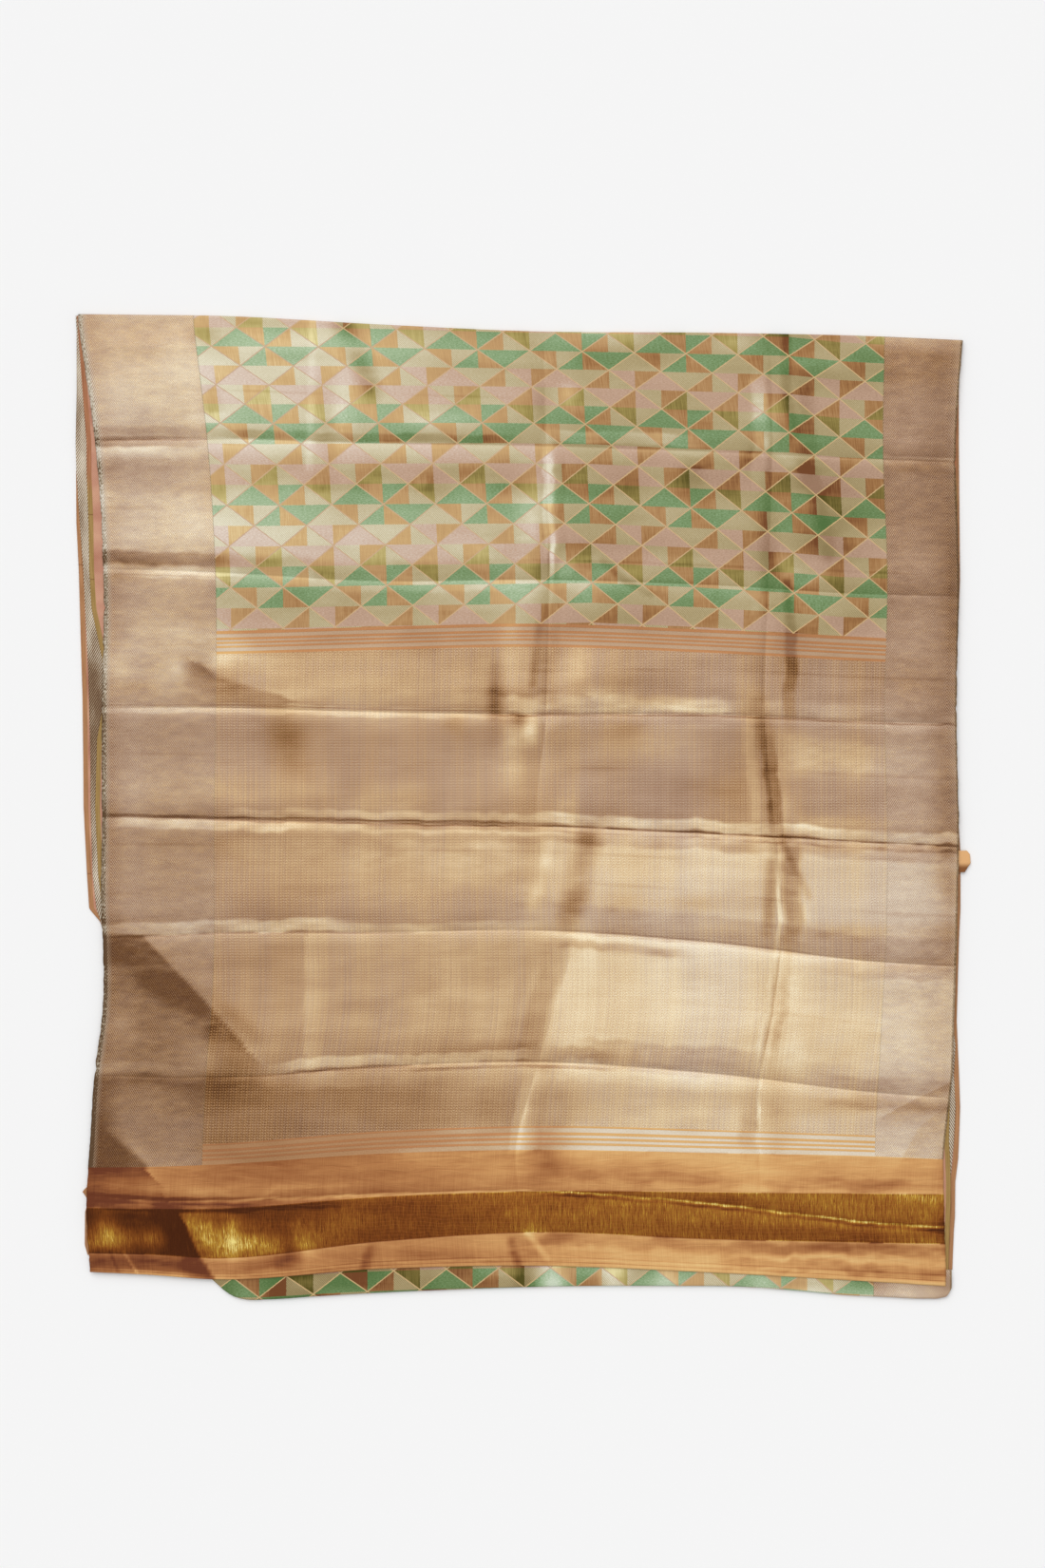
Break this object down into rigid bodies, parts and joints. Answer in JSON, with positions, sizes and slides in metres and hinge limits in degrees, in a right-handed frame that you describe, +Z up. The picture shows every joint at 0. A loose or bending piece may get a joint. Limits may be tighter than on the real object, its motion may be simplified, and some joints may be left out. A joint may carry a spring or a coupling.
{
  "type": "folded sari",
  "caption": "Silk and metal-thread sari folded in four and laid flat, with a geometric woven body, gold end-piece, twill borders and a banded free end.",
  "frame": {"origin": "middle of the folded sari's box, on the surface that it lies on", "axes": "+X across the loom width from the wide border to the narrow one, +Y along the cloth from the free end to the top fold, +Z up"},
  "size_m": [1.206, 1.3257, 0.0148],
  "materials": {
    "field": "silk brocade with a triangle pattern in green, cream, pink, olive and orange",
    "stripe": "silk with fine stripes of pale metal thread",
    "gold": "metal-thread tissue with a fine herringbone weave, lustrous",
    "pale_gold": "metal-thread twill, lustrous",
    "orange": "plain silk, soft sheen",
    "zari_band": "dark silk with streaks of bright metal thread",
    "selvage": "plain woven edges and reverse sides of the lower layers"
  },
  "bodies": {
    "root": {"field_stretch": "field", "field_stripes": "stripe", "pallu_stretch": "gold", "pallu_stripes": "stripe", "end_plain_strip": "orange", "end_zari_band": "zari_band", "end_hem": "orange", "left_border": "pale_gold", "right_border": "pale_gold", "folded_layers": "selvage", "lower_fold": "field", "right_edge_tab": "orange"}
  },
  "joints": []
}
